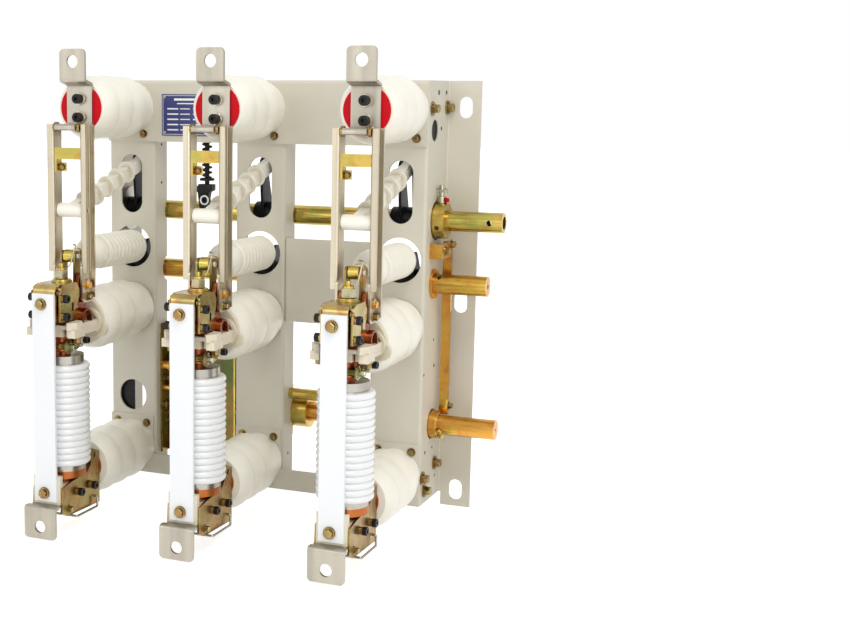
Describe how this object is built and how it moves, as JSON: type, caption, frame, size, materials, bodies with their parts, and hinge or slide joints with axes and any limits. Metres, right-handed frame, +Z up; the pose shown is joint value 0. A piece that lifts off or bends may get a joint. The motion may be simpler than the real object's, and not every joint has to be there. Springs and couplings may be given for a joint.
{
  "type": "vacuum load break switch",
  "caption": "Three-pole indoor vacuum load break switch on a folded steel frame, with isolating blades, post insulators, interrupters and side shafts.",
  "frame": {"origin": "on the wall face of the right rear flange, on the line of its slots, halfway between the middle and lower slots", "axes": "+X across the poles to the shaft ends, +Y out of the back towards the wall, +Z up"},
  "size_m": [0.637, 0.366, 0.6673],
  "materials": {
    "frame_paint": "satin",
    "epoxy_ivory": "gloss",
    "ceramic_white": "gloss",
    "disc_red": "satin",
    "silver_plate": "satin",
    "yellow_zinc": "gloss",
    "orange_zinc": "gloss",
    "copper": "satin",
    "steel": "satin",
    "black_steel": "satin",
    "cast_alloy": "satin",
    "plate_blue": "satin",
    "strip_white": "satin"
  },
  "bodies": {
    "frame": {"post_left": "frame_paint", "post_middle": "frame_paint", "post_right": "frame_paint", "top_beam": "frame_paint", "bottom_beam": "frame_paint", "cover_plate": "frame_paint", "name_plate": "plate_blue", "upper_insulators": "epoxy_ivory", "middle_insulators": "epoxy_ivory", "lower_insulators": "epoxy_ivory", "upper_face_discs": "disc_red", "lower_face_discs": "copper", "upper_terminals": "silver_plate", "middle_supports": "cast_alloy", "head_yokes": "yellow_zinc", "contact_heads": "copper", "interrupter_ceramics": "ceramic_white", "interrupter_rings": "steel", "copper_bands": "copper", "stem_clamps": "orange_zinc", "flexible_straps": "copper", "spring_lever": "black_steel", "lower_blocks": "cast_alloy", "lower_side_plates": "orange_zinc", "lower_terminals": "silver_plate", "tie_strips": "strip_white", "wire_bails": "steel", "mechanism_housing": "yellow_zinc", "mechanism_bearing": "yellow_zinc", "spring_guide": "black_steel", "interlock_bar": "orange_zinc", "stay_tube": "yellow_zinc", "rear_strip": "yellow_zinc", "shaft_bearings": "steel"},
    "isolator": {"isolator_shaft": "yellow_zinc", "isolator_cranks": "black_steel"},
    "drive": {"drive_shaft": "orange_zinc", "drive_cranks": "black_steel"},
    "operating": {"operating_shaft": "orange_zinc"},
    "blade_a": {"blade_a": "silver_plate", "blade_strap_a": "yellow_zinc"},
    "rod_a": {"pull_rod_a": "epoxy_ivory"},
    "link_a": {"drive_link_a": "epoxy_ivory"},
    "lever_a": {"head_lever_a": "yellow_zinc"},
    "blade_b": {"blade_b": "silver_plate", "blade_strap_b": "yellow_zinc"},
    "rod_b": {"pull_rod_b": "epoxy_ivory"},
    "link_b": {"drive_link_b": "epoxy_ivory"},
    "lever_b": {"head_lever_b": "yellow_zinc"},
    "blade_c": {"blade_c": "silver_plate", "blade_strap_c": "yellow_zinc"},
    "rod_c": {"pull_rod_c": "epoxy_ivory"},
    "link_c": {"drive_link_c": "epoxy_ivory"},
    "lever_c": {"head_lever_c": "yellow_zinc"}
  },
  "joints": [
    {"name": "isolator_shaft_turn", "type": "hinge", "parent": "frame", "child": "isolator", "pos_m": [-0.2725, -0.048, 0.258], "axis": [1, 0, 0], "range_deg": [0, 52]},
    {"name": "drive_shaft_turn", "type": "hinge", "parent": "frame", "child": "drive", "pos_m": [-0.2725, -0.055, 0.17], "axis": [-1, 0, 0], "range_deg": [0, 28]},
    {"name": "operating_shaft_turn", "type": "hinge", "parent": "frame", "child": "operating", "pos_m": [-0.0225, -0.046, -0.033], "axis": [1, 0, 0], "range_deg": [0, 90]},
    {"name": "blade_swing_a", "type": "hinge", "parent": "frame", "child": "blade_a", "pos_m": [-0.4825, -0.2715, 0.171], "axis": [1, 0, 0], "range_deg": [0, 35.36]},
    {"name": "rod_swing_a", "type": "hinge", "parent": "blade_a", "child": "rod_a", "pos_m": [-0.4825, -0.268, 0.271], "axis": [1, 0, 0], "range_deg": [-42.33, 0]},
    {"name": "link_swing_a", "type": "hinge", "parent": "drive", "child": "link_a", "pos_m": [-0.4825, -0.06492, 0.20461], "axis": [-1, 0, 0], "range_deg": [-29.12, 0]},
    {"name": "lever_swing_a", "type": "hinge", "parent": "frame", "child": "lever_a", "pos_m": [-0.4825, -0.278, 0.15], "axis": [-1, 0, 0], "range_deg": [0, 17.36]},
    {"name": "blade_swing_b", "type": "hinge", "parent": "frame", "child": "blade_b", "pos_m": [-0.2725, -0.2715, 0.171], "axis": [1, 0, 0], "range_deg": [0, 35.36]},
    {"name": "rod_swing_b", "type": "hinge", "parent": "blade_b", "child": "rod_b", "pos_m": [-0.2725, -0.268, 0.271], "axis": [1, 0, 0], "range_deg": [-42.33, 0]},
    {"name": "link_swing_b", "type": "hinge", "parent": "drive", "child": "link_b", "pos_m": [-0.2725, -0.06492, 0.20461], "axis": [-1, 0, 0], "range_deg": [-29.12, 0]},
    {"name": "lever_swing_b", "type": "hinge", "parent": "frame", "child": "lever_b", "pos_m": [-0.2725, -0.278, 0.15], "axis": [-1, 0, 0], "range_deg": [0, 17.36]},
    {"name": "blade_swing_c", "type": "hinge", "parent": "frame", "child": "blade_c", "pos_m": [-0.0625, -0.2715, 0.171], "axis": [1, 0, 0], "range_deg": [0, 35.36]},
    {"name": "rod_swing_c", "type": "hinge", "parent": "blade_c", "child": "rod_c", "pos_m": [-0.0625, -0.268, 0.271], "axis": [1, 0, 0], "range_deg": [-42.33, 0]},
    {"name": "link_swing_c", "type": "hinge", "parent": "drive", "child": "link_c", "pos_m": [-0.0625, -0.06492, 0.20461], "axis": [-1, 0, 0], "range_deg": [-29.12, 0]},
    {"name": "lever_swing_c", "type": "hinge", "parent": "frame", "child": "lever_c", "pos_m": [-0.0625, -0.278, 0.15], "axis": [-1, 0, 0], "range_deg": [0, 17.36]}
  ],
  "couplings": [
    {"joint": "blade_swing_a", "follows": "isolator_shaft_turn", "ratio": 0.68},
    {"joint": "rod_swing_a", "follows": "isolator_shaft_turn", "ratio": -0.814},
    {"joint": "link_swing_a", "follows": "drive_shaft_turn", "ratio": -1.04},
    {"joint": "lever_swing_a", "follows": "drive_shaft_turn", "ratio": 0.62},
    {"joint": "blade_swing_b", "follows": "isolator_shaft_turn", "ratio": 0.68},
    {"joint": "rod_swing_b", "follows": "isolator_shaft_turn", "ratio": -0.814},
    {"joint": "link_swing_b", "follows": "drive_shaft_turn", "ratio": -1.04},
    {"joint": "lever_swing_b", "follows": "drive_shaft_turn", "ratio": 0.62},
    {"joint": "blade_swing_c", "follows": "isolator_shaft_turn", "ratio": 0.68},
    {"joint": "rod_swing_c", "follows": "isolator_shaft_turn", "ratio": -0.814},
    {"joint": "link_swing_c", "follows": "drive_shaft_turn", "ratio": -1.04},
    {"joint": "lever_swing_c", "follows": "drive_shaft_turn", "ratio": 0.62}
  ]
}
